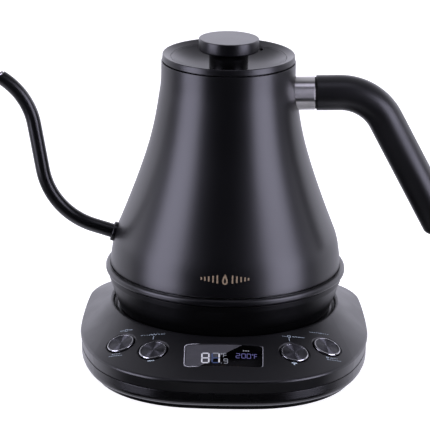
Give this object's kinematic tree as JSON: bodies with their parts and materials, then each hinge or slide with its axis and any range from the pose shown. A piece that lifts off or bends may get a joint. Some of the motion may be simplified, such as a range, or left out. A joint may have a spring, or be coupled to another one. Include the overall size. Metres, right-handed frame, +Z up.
{
  "type": "electric gooseneck kettle with powered base",
  "caption": "Bell-shaped electric pour-over kettle with a slim gooseneck spout, bent grip and lift-off lid, standing on a powered base with keys and a display window.",
  "frame": {"origin": "centre of the base's footprint, on the table", "axes": "+Z up, -Y towards the user at the keys, +X towards the handle"},
  "size_m": [0.2969, 0.203, 0.2032],
  "materials": {
    "black_paint": "matte black powder coat",
    "polished_steel": "polished stainless steel",
    "brushed_steel": "satin stainless steel",
    "grip_plastic": "matte black, fine texture",
    "satin_black_plastic": "satin black",
    "base_plastic": "soft matte black",
    "gloss_black_plastic": "gloss black",
    "window_gloss": "gloss black display window",
    "button_metal": "dark anodised, spun",
    "button_bevel": "bright bevel",
    "rubber_black": "matte",
    "silicone": "translucent grey silicone",
    "brass": "bright",
    "aluminium": "cast, matte",
    "board_green": "solder mask",
    "part_black": "moulded component",
    "part_blue": "sleeved component",
    "nylon_white": "natural nylon",
    "screw_steel": "zinc plated"
  },
  "bodies": {
    "base": {"base_bottom_shell": "gloss_black_plastic", "base_feet": "rubber_black", "base_screws": "screw_steel", "cord_gland": "rubber_black", "cord_clamp": "part_black", "connector_post": "satin_black_plastic", "contact_rings": "brass", "contact_pin": "brass", "connector_clamp": "part_black", "clamp_screws": "screw_steel", "power_board": "board_green", "relay": "part_blue", "transformer": "part_black", "capacitors": "part_blue", "fuse_holder": "screw_steel", "buzzer": "part_black", "ribbon_lead": "part_black", "base_top_shell": "base_plastic", "display_window": "window_gloss", "display_module": "part_black", "control_board": "board_green", "tact_switches": "part_black", "switch_boards": "board_green"},
    "swivel": {"swivel_ring": "nylon_white"},
    "kettle": {"body_shell": "black_paint", "body_floor": "brushed_steel", "bead_ring": "black_paint", "lower_skirt": "satin_black_plastic", "bottom_cover": "satin_black_plastic", "cover_screws": "screw_steel", "kettle_connector": "nylon_white", "connector_contacts": "brass", "heat_plate": "aluminium", "heating_element": "brushed_steel", "element_clips": "screw_steel", "boil_dry_cutout": "part_black", "temperature_probe": "brushed_steel", "spout_tube": "black_paint", "spout_flange": "black_paint", "handle_core": "screw_steel", "handle_collar": "polished_steel", "handle_washer": "rubber_black", "handle_grip": "grip_plastic", "handle_set_screw": "screw_steel"},
    "lid": {"lid_ring": "black_paint", "lid_plate": "black_paint", "lid_cup": "brushed_steel", "lid_seal": "silicone", "lid_knob": "black_paint", "knob_stem": "gloss_black_plastic", "lid_screw": "screw_steel"},
    "hold_key": {"hold_button": "button_metal", "hold_button_ring": "button_bevel"},
    "minus_key": {"minus_button": "button_metal", "minus_button_ring": "button_bevel"},
    "plus_key": {"plus_button": "button_metal", "plus_button_ring": "button_bevel"},
    "start_key": {"start_button": "button_metal", "start_button_ring": "button_bevel"}
  },
  "joints": [
    {"name": "kettle_swivel", "type": "hinge", "parent": "base", "child": "swivel", "pos_m": [0, 0.0105, 0.032], "axis": [0, 0, 1], "continuous": true},
    {"name": "kettle_lift", "type": "slide", "parent": "swivel", "child": "kettle", "axis": [0, 0, 1], "range_m": [0, 0.06]},
    {"name": "lid_lift", "type": "slide", "parent": "kettle", "child": "lid", "axis": [0, 0, 1], "range_m": [0, 0.03]},
    {"name": "hold_press", "type": "slide", "parent": "base", "child": "hold_key", "axis": [0.2843, 0.2258, -0.9318], "range_m": [0, 0.0008], "stiffness_N_per_m": 1500},
    {"name": "minus_press", "type": "slide", "parent": "base", "child": "minus_key", "axis": [0.1611, 0.2743, -0.948], "range_m": [0, 0.0008], "stiffness_N_per_m": 1500},
    {"name": "plus_press", "type": "slide", "parent": "base", "child": "plus_key", "axis": [-0.1611, 0.2743, -0.948], "range_m": [0, 0.0008], "stiffness_N_per_m": 1500},
    {"name": "start_press", "type": "slide", "parent": "base", "child": "start_key", "axis": [-0.2843, 0.2258, -0.9318], "range_m": [0, 0.0008], "stiffness_N_per_m": 1500}
  ]
}
